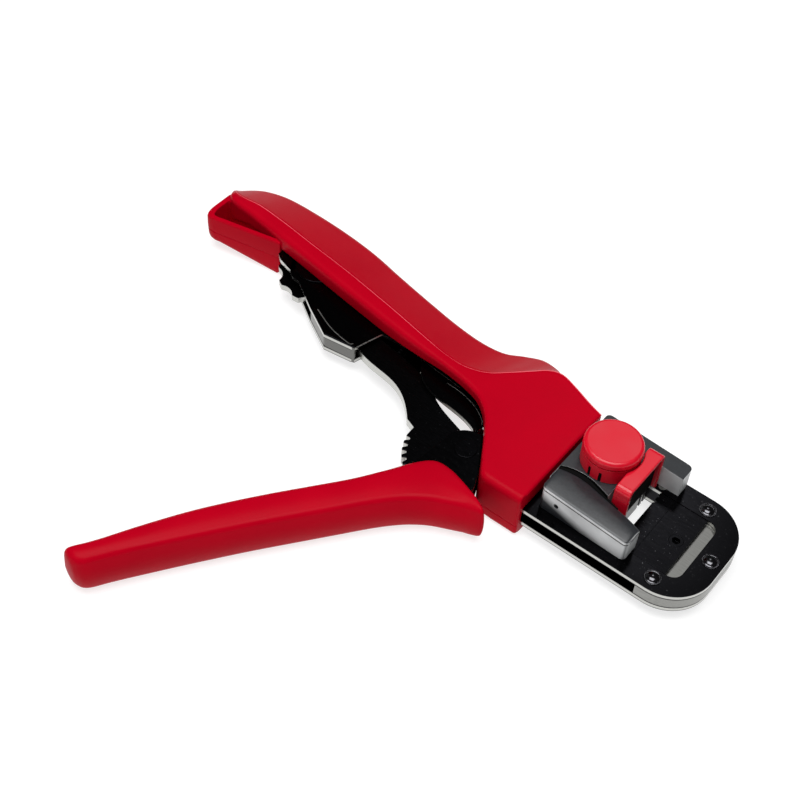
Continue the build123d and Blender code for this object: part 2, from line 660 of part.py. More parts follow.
def locator_body():
    """Moulded block on the head: a middle deck for the knob and two arms beside the bridge."""
    front = LOCATOR_FRONT
    middle_x, long = (LOCATOR_BACK + DECK_FRONT) / 2, DECK_FRONT - LOCATOR_BACK
    far_inner = BRIDGE_FAR + BRIDGE_RUN
    far_arm = Pos((LOCATOR_BACK + front) / 2, (far_inner + LOCATOR_FAR) / 2) * Rectangle(
        front - LOCATOR_BACK, LOCATOR_FAR - far_inner
    )
    far_arm = fillet(far_arm.vertices().sort_by(Axis.Y)[-2:], ARM_ROUND)
    arms = prism(near_arm_face(0), PLATE_TOP, ARM_BACK_TOP) + prism(far_arm, PLATE_TOP, ARM_BACK_TOP)
    arms -= Pos(0, 30, 0) * extrude(
        Plane.XZ * face((LOCATOR_BACK, ARM_BACK_TOP), (front + 1, ARM_FRONT_TOP),
                        (front + 1, ARM_BACK_TOP + 3), (LOCATOR_BACK, ARM_BACK_TOP + 3)),
        60,
    )
    deck_far = far_inner + 1.2
    deck = Pos(middle_x, (deck_far + DECK_NEAR) / 2) * Rectangle(long, deck_far - DECK_NEAR)
    deck -= near_arm_face(GROOVE)
    base = Pos(middle_x, (deck_far + DECK_NEAR) / 2) * Rectangle(long, deck_far - DECK_NEAR)
    part = prism(base, PLATE_TOP, ARM_FRONT_TOP - 1.5) + prism(deck, PLATE_TOP, DECK) + arms
    part -= pin(KNOB, POST_R, DECK - 4, DECK + 1)
    for place in LOCATOR_SCREWS:
        part -= pin(place, SCREW_R, PLATE_TOP, PLATE_TOP + 5)
    side_hole = Pos(LOCATOR_BACK + 6.0, LOCATOR_NEAR + 2, 8.2) * Rot(90, 0, 0) * Cylinder(0.8, 5)
    return part - side_hole


LOCATOR_SCREWS = [(LOCATOR_BACK + 3.5, y) for y in (-10.0, 17.4)]


def locator_screws():
    """Screws that come up through the plate into the locator."""
    return pins(LOCATOR_SCREWS, SCREW_R, GAP_HALF, PLATE_TOP + 5)


def knob_post():
    """Shaft of the knob, standing in the locator's deck."""
    return pin(KNOB, POST_R, DECK - 4, KNOB_TOP - 3.0)


def locator_knob():
    """Knob with a thick rounded disc over a plain skirt, and two index grooves."""
    base = DECK + LAYER_RUN
    neck = KNOB_TOP - KNOB_DISC
    part = pin(KNOB, KNOB_R - 0.15, base, neck - 0.6) + pin(KNOB, KNOB_R - 0.7, neck - 0.6, neck)
    cap = pin(KNOB, KNOB_R, neck, KNOB_TOP)
    cap = fillet(cap.edges().sort_by(Axis.Z)[-1], 1.3)
    part += cap
    part -= pin(KNOB, POST_R + PIN_RUN, base, KNOB_TOP - 2.6)
    for turn in KNOB_MARKS:
        groove = Pos(*polar(KNOB, KNOB_R, turn)) * Rot(0, 0, turn) * Rectangle(1.0, 0.9)
        part -= prism(groove, base, base + 3.6)
    return part


def locator_bridge():
    """Portal in front of the knob, which the knob pushes forward over the dies."""
    wide, high = BRIDGE_FAR - BRIDGE_NEAR, BRIDGE_TOP - PLATE_TOP - CLEAR
    middle = Pos((BRIDGE_FAR + BRIDGE_NEAR) / 2, BRIDGE_TOP - high / 2)
    outside = middle * Rectangle(wide, high)
    outside = fillet(outside.vertices().sort_by(Axis.Y)[-2:], BRIDGE_CORNER)
    inside = middle * Pos(0, -BRIDGE_LEG) * Rectangle(wide - 2 * BRIDGE_LEG, high)
    inside = fillet(inside.vertices().sort_by(Axis.Y)[-2:], BRIDGE_CORNER - BRIDGE_LEG / 2)
    part = Pos(BRIDGE_BACK, 0, 0) * extrude(Plane.YZ * (outside - inside), BRIDGE_FRONT - BRIDGE_BACK)
    return part - pin(KNOB, KNOB_R + CLEAR, DECK - 9, BRIDGE_TOP + 1)


def bridge_insert():
    """Steel contact stop between the bridge's legs."""
    low, high = PLATE_TOP + CLEAR + 0.6, BRIDGE_TOP - BRIDGE_LEG - 1.4
    wide = BRIDGE_FAR - BRIDGE_NEAR - 2 * BRIDGE_LEG
    middle = (BRIDGE_FAR + BRIDGE_NEAR) / 2
    return Pos(BRIDGE_FRONT - 2.5, middle, (low + high) / 2) * Box(2.2, wide, high - low)


# writing
def parts():
    """Every named piece of the tool, as lists of solids."""
    upper = side_plate()
    screw_holes = Part() + pins(LOCATOR_SCREWS, SCREW_R, GAP_HALF, PLATE_TOP)
    lever = lever_plate()
    return {
        "frame_plate_top": [upper - screw_holes],
        "frame_plate_bottom": [flipped(upper - prism(clear_under_band(), 0, PLATE_TOP))],
        "head_spacer": [head_spacer()],
        "guide_bars": guide_bars(),
        "spine_bar": [spine_bar()],
        "nose_rivets": rivets(NOSE_RIVETS),
        "guide_rivets": pins(GUIDE_RIVETS, GUIDE_RIVET_R, -PLATE_TOP, PLATE_TOP),
        "spine_rivets": rivets(SPINE_RIVETS),
        "tail_bracket": [tail_bracket()],
        "tail_pin": [tail_pin()],
        "adjusting_wheel": [adjusting_wheel()],
        "strut": [strut()],
        "return_spring": [return_spring()],
        "joint_pin": [joint_pin()],
        "joint_washers": joint_washers(),
        "lever_plate_top": [lever],
        "lever_plate_bottom": [flipped(lever)],
        "lever_core": [lever_core()],
        "lever_rivets": lever_rivets(),
        "moving_grip": [moving_grip()],
        "ram_pin": [ram_pin()],
        "pawl": [pawl()],
        "pawl_pin": [pawl_pin()],
        "pawl_spring": [pawl_spring()],
        "ram": [ram()],
        "moving_die": [moving_die()],
        "fixed_die": [fixed_die()],
        "die_block": [die_block()],
        "die_screw": [die_screw()],
        "shell_top": [shell_top()],
        "shell_bottom": [shell_bottom()],
        "shell_screws": shell_screws(),
        "locator_body": [locator_body()],
        "locator_screws": locator_screws(),
        "knob_post": [knob_post()],
        "locator_knob": [locator_knob()],
        "locator_bridge": [locator_bridge()],
        "bridge_insert": [bridge_insert()],
    }


def main():
    os.makedirs("parts", exist_ok=True)
    made = parts()
    box = Compound(children=[solid for group in made.values() for item in group
                             for solid in item.solids()]).bounding_box()
    home = Pos(-(box.min.X + box.max.X) / 2, -(box.min.Y + box.max.Y) / 2, -box.min.Z)
    print("moved by", home.position)
    for name, group in made.items():
        solids = [home * solid for item in group for solid in item.solids()]
        whole = solids[0] if len(solids) == 1 else Compound(children=solids)
        export_step(whole, os.path.join("parts", name + ".step"))


main()
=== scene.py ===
"""Looks of a hand crimping tool with red grips, blackened plates and a locator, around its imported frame."""

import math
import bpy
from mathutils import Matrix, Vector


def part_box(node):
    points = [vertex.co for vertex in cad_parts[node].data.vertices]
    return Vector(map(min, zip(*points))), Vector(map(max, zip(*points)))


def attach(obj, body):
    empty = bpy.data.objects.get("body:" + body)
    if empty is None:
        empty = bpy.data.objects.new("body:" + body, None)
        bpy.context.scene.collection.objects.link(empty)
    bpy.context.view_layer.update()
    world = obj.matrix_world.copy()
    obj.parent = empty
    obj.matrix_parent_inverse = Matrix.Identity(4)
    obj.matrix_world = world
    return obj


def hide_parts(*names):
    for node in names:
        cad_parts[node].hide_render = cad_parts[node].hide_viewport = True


bl_info = {
    "name": "Crimping tool finish",
    "version": (1, 0, 0),
    "blender": (4, 5, 0),
    "location": "View3D > Sidebar > Crimping tool",
    "description": "Dresses the packed crimping tool in moulded plastic and steel, and sets its studio",
    "category": "Object",
}

import bmesh
import bpy
import numpy as np
from bpy.props import FloatProperty, FloatVectorProperty, PointerProperty
from mathutils import Matrix, Vector

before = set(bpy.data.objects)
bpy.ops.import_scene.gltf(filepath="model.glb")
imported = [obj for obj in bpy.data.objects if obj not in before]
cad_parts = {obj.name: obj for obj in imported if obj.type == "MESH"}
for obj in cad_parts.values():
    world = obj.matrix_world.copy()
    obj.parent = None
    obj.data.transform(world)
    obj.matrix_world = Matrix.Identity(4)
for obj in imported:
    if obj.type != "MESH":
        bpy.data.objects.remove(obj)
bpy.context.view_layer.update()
MM = 0.001

# The tool's own axes, found from the frame: x = 0 at the tail line, y = 0 along the head's middle, and
# z = 0 half way between the side plates. All sizes below are millimetres from there.
HEAD_END = 210.0
PLATE_LOW, PLATE_TOP = 2.0, 3.6      # faces of the upper side plate; the lower one is its mirror image
SHELL_TOP, SHELL_LOW = 9.7, 8.3      # the housing's height and depth
HEAD_CORNER_LOW, HEAD_CORNER_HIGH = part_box("head_spacer")
ORIGIN = Vector((
    HEAD_CORNER_HIGH.x - HEAD_END * MM,
    (HEAD_CORNER_LOW.y + HEAD_CORNER_HIGH.y) / 2,
    (HEAD_CORNER_LOW.z + HEAD_CORNER_HIGH.z) / 2,
))


def spot(x, y, z=0.0):
    """A place given in millimetres from the tool's own axes, in the frame's metres."""
    return ORIGIN + Vector((x, y, z)) * MM


def linear(hex_colour):
    """An sRGB hex colour as linear red, green and blue."""
    parts = [int(hex_colour[i:i + 2], 16) / 255 for i in (1, 3, 5)]
    return tuple(c / 12.92 if c <= 0.04045 else ((c + 0.055) / 1.055) ** 2.4 for c in parts)


# Settings that a user would change
def length(name, text, default):
    """A size in metres, given here in millimetres."""
    return FloatProperty(name=name, description=text, default=default * MM, subtype="DISTANCE", unit="LENGTH",
                         precision=5)


def colour(name, text, default):
    return FloatVectorProperty(name=name, description=text, default=linear(default), subtype="COLOR", size=3,
                               min=0.0, max=1.0)


class CrimpToolSizes(bpy.types.PropertyGroup):
    """Edge roundings and surface grain of the finished tool"""
    plate_edge: length("Plate edge", "Rounding of the stamped plates' edges", 0.32)
    machined_edge: length("Machined edge", "Rounding of turned and milled steel", 0.15)
    moulded_edge: length("Moulded edge", "Rounding of the moulded edges that the mould leaves sharp", 0.35)
    locator_edge: length("Locator edge", "Rounding of the locator's edges", 0.5)
    plastic_grain: length("Plastic grain", "Size of the red plastic's spark-eroded grain", 0.55)
    deck_grain: length("Deck grain", "Size of the locator's coarse grain", 0.6)


class CrimpToolColours(bpy.types.PropertyGroup):
    """Colours of the tool's materials"""
    housing_red: colour("Housing red", "Moulded grips and housing", "#B0001A")
    locator_red: colour("Locator red", "Knob and portal of the locator", "#CC0824")
    locator_black: colour("Locator black", "Moulded body of the locator", "#1D2024")
    # Colour of the painted reflection on the locator's near and front walls
    painted_reflection_grey: colour("Painted reflection grey", "Pale colour painted on the locator's near and front walls as their reflection", "#DADCDD")
    black_steel: colour("Black steel", "Blackened face of the plates", "#121214")
    bare_steel: colour("Bare steel", "Ground and cut edges", "#B9B9B5")
    floor_white: colour("Floor white", "Paper under the tool", "#F7F7F7")


# Node helper
def add(tree, kind, inputs=(), **settings):
    """Adds a node, with its settings, and with inputs as (socket, value or output socket) pairs."""
    node = tree.nodes.new(kind)
    for key, value in settings.items():
        setattr(node, key, value)
    for socket, value in dict(inputs).items():
        target = node.inputs[socket]
        if isinstance(value, bpy.types.NodeSocket):
            tree.links.new(value, target)
        else:
            target.default_value = value
    return node


def new_material(name):
    """An empty node material with its shader, output and object coordinates."""
    material = bpy.data.materials.new(name)
    material.use_nodes = True
    tree = material.node_tree
    tree.nodes.clear()
    shader = add(tree, "ShaderNodeBsdfPrincipled")
    add(tree, "ShaderNodeOutputMaterial", {"Surface": shader.outputs["BSDF"]})
    coordinates = add(tree, "ShaderNodeTexCoord")
    return material, tree, shader, coordinates


def noise(tree, coordinates, grain, detail=2.0, roughness=0.5):
    """Three-dimensional noise whose lumps are one grain across, in metres."""
    return add(tree, "ShaderNodeTexNoise", {
        "Vector": coordinates.outputs["Object"], "Scale": 1.0 / grain, "Detail": detail, "Roughness": roughness,
    }).outputs["Fac"]


def ramp(tree, value, low, high, to_low=0.0, to_high=1.0):
    """Maps a value between two limits to two others, with no overshoot."""
    return add(tree, "ShaderNodeMapRange", {
        "Value": value, "From Min": low, "From Max": high, "To Min": to_low, "To Max": to_high,
    }).outputs["Result"]


def mixed(tree, factor, first, second):
    """A colour between two others."""
    node = add(tree, "ShaderNodeMix", data_type="RGBA")
    tree.links.new(factor, node.inputs["Factor"])
    for socket, value in ((node.inputs[6], first), (node.inputs[7], second)):
        if isinstance(value, bpy.types.NodeSocket):
            tree.links.new(value, socket)
        else:
            socket.default_value = (*value, 1.0)
    return node.outputs[2]


def bump(tree, height, depth):
    """Surface relief of the given depth in metres."""
    return add(tree, "ShaderNodeBump", {"Height": height, "Strength": 1.0, "Distance": depth}).outputs["Normal"]


def part_of(tree, vector, axis):
    """One coordinate of a vector."""
    return add(tree, "ShaderNodeSeparateXYZ", {"Vector": vector}).outputs[axis]


def worked(tree, operation, *values):
    """The result of one step of arithmetic."""
    return add(tree, "ShaderNodeMath", dict(enumerate(values)), operation=operation).outputs[0]


# Materials
def moulded_abs(name, base, grain, relief, rough, shine=0.03):
    """ABS moulded against a finely eroded tool: even colour, a soft sheen, and a grain that breaks the
    highlight up. Slow changes in roughness are finger wear."""
    material, tree, shader, coordinates = new_material(name)
    wear = noise(tree, coordinates, 18 * MM, 3.0)
    dull, fresh = tuple(c * 0.94 for c in base), tuple(min(c * 1.03, 1) for c in base)
    shade = mixed(tree, ramp(tree, wear, 0.3, 0.7), dull, fresh)
    tree.links.new(shade, shader.inputs["Base Color"])
    tree.links.new(ramp(tree, wear, 0.3, 0.7, rough - 0.04, rough + 0.05), shader.inputs["Roughness"])
    tree.links.new(bump(tree, noise(tree, coordinates, grain, 3.0, 0.6), relief), shader.inputs["Normal"])
    shader.inputs["IOR"].default_value = 1.53
    shader.inputs["Specular IOR Level"].default_value = shine
    return material


LOCATOR_BACK = 156.0
FADE_HEIGHT = 9.5     # the painted reflection starts this high at the locator's back
FADE_SLOPE = 0.3      # and lower by this share of the way to its front


def nylon_with_painted_reflection(name, base, pale, grain, relief, rough):
    """Black nylon with a coarse grain, and a pale painted reflection on the two walls that face the near side
    and the front. The painted reflection fades to black low down and towards the back, as painted shade."""
    material, tree, shader, coordinates = new_material(name)
    facing, place = coordinates.outputs["Normal"], coordinates.outputs["Object"]
    # Painted reflection: walls that face the near side and the front take the pale colour, faded out low down and
    # towards the back as painted shade
    near = ramp(tree, part_of(tree, facing, "Y"), -0.55, -0.95)
    front = ramp(tree, part_of(tree, facing, "X"), 0.55, 0.95)
    height = worked(tree, "MULTIPLY_ADD", part_of(tree, place, "X"), FADE_SLOPE, part_of(tree, place, "Z"))
    fade = FADE_SLOPE * spot(LOCATOR_BACK, 0).x + spot(0, 0, FADE_HEIGHT).z
    reflection_fade = ramp(tree, height, fade - 1.8 * MM, fade + 1.8 * MM)
    wall = worked(tree, "MULTIPLY", worked(tree, "MAXIMUM", near, front), reflection_fade)
    lumps = noise(tree, coordinates, grain, 3.0, 0.6)
    patchy = noise(tree, coordinates, 9 * MM, 2.0)
    pale_reflection = mixed(tree, ramp(tree, patchy, 0.3, 0.7), tuple(c * 0.7 for c in pale), pale)
    dark = mixed(tree, ramp(tree, lumps, 0.35, 0.7), tuple(c * 0.75 for c in base), tuple(c * 1.35 for c in base))
    tree.links.new(mixed(tree, wall, dark, pale_reflection), shader.inputs["Base Color"])
    tree.links.new(ramp(tree, lumps, 0.3, 0.7, rough - 0.05, rough + 0.08), shader.inputs["Roughness"])
    tree.links.new(bump(tree, lumps, relief), shader.inputs["Normal"])
    shader.inputs["IOR"].default_value = 1.53
    shader.inputs["Specular IOR Level"].default_value = 0.6
    return material


def seam(tree, coordinates, middle, half):
    """One near the seams of the stacked layers, where the colour is darker, and nothing inside a layer: the layer's
    middle height and half its clean thickness are in millimetres, alike above and below the mid-plane."""
    height = part_of(tree, coordinates.outputs["Object"], "Z")
    from_middle = worked(tree, "ABSOLUTE", worked(tree, "SUBTRACT", height, ORIGIN.z))
    from_layer = worked(tree, "ABSOLUTE", worked(tree, "SUBTRACT", from_middle, middle * MM))
    return ramp(tree, from_layer, half * MM, (half + 0.12) * MM)


def black_oxide(name, face, edge, rough, layer=None):
    """Mild steel, stamped and blackened: deep black flat faces with fine rolling streaks and a few
    pale specks, and bare ground metal where the cut runs across the thickness."""
    material, tree, shader, coordinates = new_material(name)
    streak_place = add(tree, "ShaderNodeMapping", {"Vector": coordinates.outputs["Object"], "Scale": (0.2, 1.0, 1.0)})
    streaks = add(tree, "ShaderNodeTexNoise", {
        "Vector": streak_place.outputs["Vector"], "Scale": 1.0 / (0.5 * MM), "Detail": 4.0,
    }).outputs["Fac"]
    specks = ramp(tree, noise(tree, coordinates, 0.5 * MM, 2.0), 0.70, 0.76)
    black = mixed(tree, ramp(tree, streaks, 0.35, 0.7), face, tuple(c * 1.12 for c in face))
    black = mixed(tree, specks, black, (0.09, 0.09, 0.095))
    flat = worked(tree, "ABSOLUTE", part_of(tree, coordinates.outputs["Normal"], "Z"))
    across = ramp(tree, flat, 0.45, 0.25)
    if layer:
        edge = mixed(tree, seam(tree, coordinates, *layer), edge, face)
    tree.links.new(mixed(tree, across, black, edge), shader.inputs["Base Color"])
    shader.inputs["Metallic"].default_value = 1.0
    tree.links.new(ramp(tree, streaks, 0.3, 0.7, rough - 0.02, rough + 0.05), shader.inputs["Roughness"])
    tree.links.new(bump(tree, streaks, 0.0006 * MM), shader.inputs["Normal"])
    return material


def ground_steel(name, base, rough, line, layer=None):
    """Bright mild steel, ground along its length: pale grey with fine parallel scratches."""
    material, tree, shader, coordinates = new_material(name)
    stretched = add(tree, "ShaderNodeMapping", {"Vector": coordinates.outputs["Object"], "Scale": (0.05, 1.0, 1.0)})
    lines = add(tree, "ShaderNodeTexNoise", {
        "Vector": stretched.outputs["Vector"], "Scale": 1.0 / line, "Detail": 3.0,
    }).outputs["Fac"]
    shade = mixed(tree, ramp(tree, lines, 0.3, 0.7), tuple(c * 0.72 for c in base), base)
    if layer:
        flat = worked(tree, "ABSOLUTE", part_of(tree, coordinates.outputs["Normal"], "Z"))
        dark = worked(tree, "MULTIPLY", seam(tree, coordinates, *layer), ramp(tree, flat, 0.6, 0.3))
        shade = mixed(tree, dark, shade, (0.01, 0.01, 0.01))
    tree.links.new(shade, shader.inputs["Base Color"])
    shader.inputs["Metallic"].default_value = 1.0
    tree.links.new(ramp(tree, lines, 0.3, 0.7, rough - 0.06, rough + 0.08), shader.inputs["Roughness"])
    tree.links.new(bump(tree, lines, 0.006 * MM), shader.inputs["Normal"])
    return material


def paper_floor(name, base):
    """Matt white studio paper."""
    material, _, shader, _ = new_material(name)
    shader.inputs["Base Color"].default_value = (*(0.35 * c for c in base), 1.0)
    shader.inputs["Emission Color"].default_value = (1.0, 1.0, 1.0, 1.0)
    shader.inputs["Emission Strength"].default_value = 0.76
    shader.inputs["Roughness"].default_value = 0.9
    shader.inputs["Specular IOR Level"].default_value = 0.0
    return material


MATERIALS = {}


def finish_of(name):
    """The named material, made when it is first asked for."""
    if name not in MATERIALS:
        tones = bpy.context.scene.crimp_tool_colours
        sizes = bpy.context.scene.crimp_tool_sizes
        black, bare = tuple(tones.black_steel), tuple(tones.bare_steel)
        makers = {
            "housing ABS": lambda n: moulded_abs(n, tuple(tones.housing_red), sizes.plastic_grain, 0.018 * MM, 0.33),
            # Pale pinkish red for the painted highlight along the housing's ridge
            "painted highlight ABS": lambda n: moulded_abs(n, linear("#E8606C"), 0.5 * MM, 0.004 * MM, 0.3, 0.4),
            "locator red ABS": lambda n: moulded_abs(n, tuple(tones.locator_red), 0.4 * MM, 0.008 * MM, 0.30, 0.35),
            "locator black nylon": lambda n: nylon_with_painted_reflection(n, tuple(tones.locator_black), tuple(tones.painted_reflection_grey),
                                                        sizes.deck_grain, 0.02 * MM, 0.42),
            # A dead matt black that stands in for shadow: painted shadow in the locator's gaps, the knob's notches
            # and under the portal
            "painted shadow black": lambda n: moulded_abs(n, (0.003, 0.003, 0.003), 0.5 * MM, 0.01 * MM, 0.8, 0.05),
            "blackened plate": lambda n: black_oxide(n, black, bare, 0.22),
            "side plate": lambda n: black_oxide(n, black, bare, 0.2, (2.8, 0.5)),
            "blackened link": lambda n: black_oxide(n, black, bare, 0.26),
            "blackened block": lambda n: black_oxide(n, black, tuple(c * 1.5 for c in black), 0.24),
            "oiled black steel": lambda n: black_oxide(n, (0.07, 0.07, 0.075), (0.05, 0.05, 0.055), 0.14),
            "rubbed plate": lambda n: black_oxide(n, black, tuple(c * 0.3 for c in bare), 0.24),
            "ground steel": lambda n: ground_steel(n, tuple(c * 0.62 for c in bare), 0.34, 0.25 * MM, (0.0, 1.75)),
            # Pale steel for the painted highlight lines on the black plates
            "painted highlight steel": lambda n: ground_steel(n, bare, 0.3, 0.25 * MM),
            "turned pin steel": lambda n: ground_steel(n, tuple(c * 0.8 for c in bare), 0.25, 0.2 * MM),
            "spring wire": lambda n: ground_steel(n, tuple(c * 0.7 for c in bare), 0.2, 0.1 * MM),
        }
        MATERIALS[name] = makers[name](name)
    return MATERIALS[name]


# Rounded edges on the nodes' own shapes: every edge sharper than the angle gets this many steps
EDGE_ANGLE = 28.0
EDGE_STEPS = 3


# Surfaces
def through(points, count):
    """A smooth line through evenly numbered points: between two of them it is the cubic that has their
    places and, as its slopes, half the step between each one's neighbours."""
    points = np.asarray(points, float)
    slope = np.gradient(points, axis=0)
    place = np.linspace(0, len(points) - 1, count)
    low = np.clip(place.astype(int), 0, len(points) - 2)
    t = (place - low)[:, None]
    return ((2 * t**3 - 3 * t**2 + 1) * points[low] + (t**3 - 2 * t**2 + t) * slope[low]
            + (3 * t**2 - 2 * t**3) * points[low + 1] + (t**3 - t**2) * slope[low + 1])


def along(values, count):
    """Values given at evenly numbered places, with straight lines between them."""
    return np.interp(np.linspace(0, len(values) - 1, count), np.arange(len(values)), values)


def raised(flat, height):
    """Flat places, in millimetres, set at a height: one number or one for each place."""
    return np.column_stack([flat, np.broadcast_to(height, len(flat))])


def moulding(rails, reach, steps=6):
    """Surface of a closed section carried along its corner rails. Round each corner the section is the
    parabola that leaves the two sides at the corner's reach, and never past 0.48 of a side."""
    rails = np.asarray(rails, float)
    before, after = np.roll(rails, 1, 0) - rails, np.roll(rails, -1, 0) - rails
    reach = np.asarray(reach, float)[:, None]

    def share(side):
        return np.minimum(reach / np.maximum(np.linalg.norm(side, axis=2), 1e-6), 0.48)[..., None]

    start, end = rails + before * share(before), rails + after * share(after)
    t = np.linspace(0, 1, steps + 1)[None, :, None, None]
    rounded = (1 - t)**2 * start[:, None] + 2 * t * (1 - t) * rails[:, None] + t**2 * end[:, None]
    return rounded.reshape(-1, rails.shape[1], 3)


def shell_mesh(name, *grids):
    """One mesh of closed tubes: each grid runs round the tube first and along it second, and its two end
    rings are closed by one face each. Faces are turned outwards where the tube's volume comes out negative."""
    verts, faces, first = [], [], 0
    for grid in grids:
        around, long = grid.shape[:2]
        number = np.arange(around * long).reshape(around, long) + first
        nearby = np.roll(number, -1, 0)
        quads = np.stack([number[:, :-1], nearby[:, :-1], nearby[:, 1:], number[:, 1:]], -1).reshape(-1, 4)
        flat = grid.reshape(-1, 3)
        a, b, c, d = (flat[quads[:, i] - first] for i in range(4))
        volume = np.einsum("ij,ij->", a - flat[0], np.cross(b - flat[0], c - flat[0])
                           + np.cross(c - flat[0], d - flat[0]))
        ends = [number[::-1, 0], number[:, -1]]
        if volume < 0:
            quads = quads[:, ::-1]
            ends = [end[::-1] for end in ends]
        verts.append(flat)
        faces += quads.tolist() + [end.tolist() for end in ends]
        first += len(flat)
    places = np.concatenate(verts) * MM + np.array(ORIGIN)
    mesh = bpy.data.meshes.new(name)
    mesh.from_pydata(places, [], faces)
    solid = bmesh.new()
    solid.from_mesh(mesh)
    bmesh.ops.remove_doubles(solid, verts=solid.verts, dist=0.001 * MM)
    solid.to_mesh(mesh)
    solid.free()
    return mesh


def turned(profile, place, count=48):
    """Surface of revolution: each profile point, a radius and a height, goes once round the place."""
    radius, height = np.asarray(profile, float).T
    angle = np.linspace(0, 2 * np.pi, count, endpoint=False)[:, None]
    return np.stack([place[0] + radius * np.cos(angle), place[1] + radius * np.sin(angle),
                     np.broadcast_to(height, (count, len(height)))], -1)


def bar(path, width, low, high):
    """A square bar along a flat path: half the width to each side of it, between two heights."""
    path = np.asarray(path, float)
    step = np.gradient(path, axis=0)
    side = np.column_stack([-step[:, 1], step[:, 0]]) / np.linalg.norm(step, axis=1, keepdims=True) * width / 2
    return np.stack([raised(path + side, low), raised(path - side, low), raised(path - side, high),
                     raised(path + side, high)])


def slab(outline, low, high):
    """A flat plate with straight walls: one outline at two heights."""
    outline = np.asarray(outline, float)
    return np.stack([raised(outline, low), raised(outline, high)], 1)


def hollowed(mesh, *rooms):
    """The mesh less each room, a closed tube, cut with an exact Boolean that is applied here."""
    body = bpy.data.objects.new("hollowed", mesh)
    cutters = [bpy.data.objects.new("room", shell_mesh("room", room)) for room in rooms]
    for one in (body, *cutters):
        bpy.context.scene.collection.objects.link(one)
    for cutter in cutters:
        cut = body.modifiers.new("room", "BOOLEAN")
        cut.operation, cut.solver, cut.object = "DIFFERENCE", "EXACT", cutter
    whole = bpy.data.meshes.new_from_object(body.evaluated_get(bpy.context.evaluated_depsgraph_get()))
    for one in (body, *cutters):
        bpy.data.objects.remove(one)
    return whole


def finished(name, mesh, material, angle):
    """A mesh as a new object with its finish, shaded smooth but for edges sharper than the angle."""
    mesh.polygons.foreach_set("use_smooth", np.ones(len(mesh.polygons), bool))
    mesh.set_sharp_from_angle(angle=math.radians(angle))
    mesh.materials.clear()
    mesh.materials.append(finish_of(material))
    piece = bpy.data.objects.new(name, mesh)
    bpy.context.scene.collection.objects.link(piece)
    return piece


# Pieces
def trimming(name, grids, body, material, angle=40):
    """Small finished forms as one more piece that rides on a body."""
    piece = finished(name, shell_mesh(name, *grids), material, angle)
    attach(piece, body)


def fitted(name, mesh, node, body, material, angle, edge=0.0):
    """A finished mesh as a piece that rides on a body and stands for a node."""
    piece = finished(name, mesh, material, angle)
    if edge > 0:
        rounding = piece.modifiers.new("rounded edges", "BEVEL")
        rounding.width = edge
        rounding.segments = EDGE_STEPS
        rounding.limit_method = "ANGLE"
        rounding.angle_limit = math.radians(angle)
        rounding.miter_outer = "MITER_ARC"
        rounding.use_clamp_overlap = True
    even = piece.modifiers.new("even shading", "WEIGHTED_NORMAL")
    even.keep_sharp = True
    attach(piece, body)
    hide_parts(node)


def refined(node, body, material, edge):
    """The node's own shape as one joined mesh with rounded edges and even shading, in the node's place."""
    solid = bmesh.new()
    solid.from_mesh(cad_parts[node].data)
    bmesh.ops.remove_doubles(solid, verts=solid.verts, dist=0.002 * MM)
    bmesh.ops.dissolve_limit(solid, angle_limit=math.radians(0.4), verts=solid.verts, edges=solid.edges)
    mesh = bpy.data.meshes.new(node + "_finished")
    solid.to_mesh(mesh)
    solid.free()
    fitted(node + "_finished", mesh, node, body, material, EDGE_ANGLE, edge)


def coat(node, material):
    """Gives a node of the frame its finish, with its shape as it is."""
    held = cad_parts[node]
    held.data.materials.clear()
    held.data.materials.append(finish_of(material))


# The housing's rails, one row for each station from the tail to the front: the near edge, the ridge where
# the long slope starts, and the far edge with its height
HOUSING_ROWS = (
    ((-3.2, 27.6), (-3.3, 27.9), (-3.4, 28.4, 1.6)),
    ((-1.7, 25.0), (-1.3, 26.4), (-2.6, 31.8, 1.6)),
    ((0.2, 21.9), (1.3, 24.2), (-0.2, 34.9, 1.6)),
    ((3.6, 19.9), (5.5, 23.2), (4.2, 37.8, 1.6)),
    ((12.0, 18.8), (13.0, 23.6), (12.0, 39.9, 1.6)),
    ((24.0, 17.2), (24.5, 22.5), (24.0, 40.3, 1.6)),
    ((38.0, 15.1), (38.0, 20.6), (38.0, 39.7, 1.6)),
    ((52.0, 12.9), (52.0, 18.8), (52.0, 38.0, 1.6)),
    ((66.0, 10.8), (66.0, 16.6), (66.0, 35.0, 1.6)),
    ((80.0, 8.8), (80.0, 14.1), (80.0, 32.2, 1.6)),
    ((93.0, 7.25), (92.0, 11.7), (93.0, 29.9, 1.6)),
    ((104.0, 6.3), (101.5, 10.0), (104.0, 28.9, 1.6)),
    ((113.0, 5.0), (109.5, 9.8), (112.5, 29.9, 1.6)),
    ((120.0, 2.8), (116.5, 12.3), (118.5, 33.2, 1.6)),
    ((125.5, -1.6), (121.8, 17.0), (124.0, 35.6, 1.6)),
    ((130.0, -7.8), (126.8, 22.0), (129.5, 35.0, 1.9)),
    ((134.6, -15.4), (131.0, 26.0), (132.8, 31.6, 4.8)),
    ((138.6, -21.2), (135.4, 27.2), (135.9, 28.1, 8.6)),
    ((143.0, -21.9), (141.5, 25.4), (142.0, 26.0, 8.7)),
    ((148.5, -21.9), (148.0, 22.9), (148.5, 23.6, 8.7)),
    ((153.5, -21.9), (153.5, 21.2), (153.5, 21.9, 8.7)),
)
NEAR_RIM = (0.5, 0.4, 0.4, 0.3, 3.9, 3.9, 3.9, 3.9, 3.9, 3.9, 5.0, 6.0, 6.0, 6.0, 6.0, 6.0, 6.0, -2.9, -3.3,
            -3.45, -3.6)
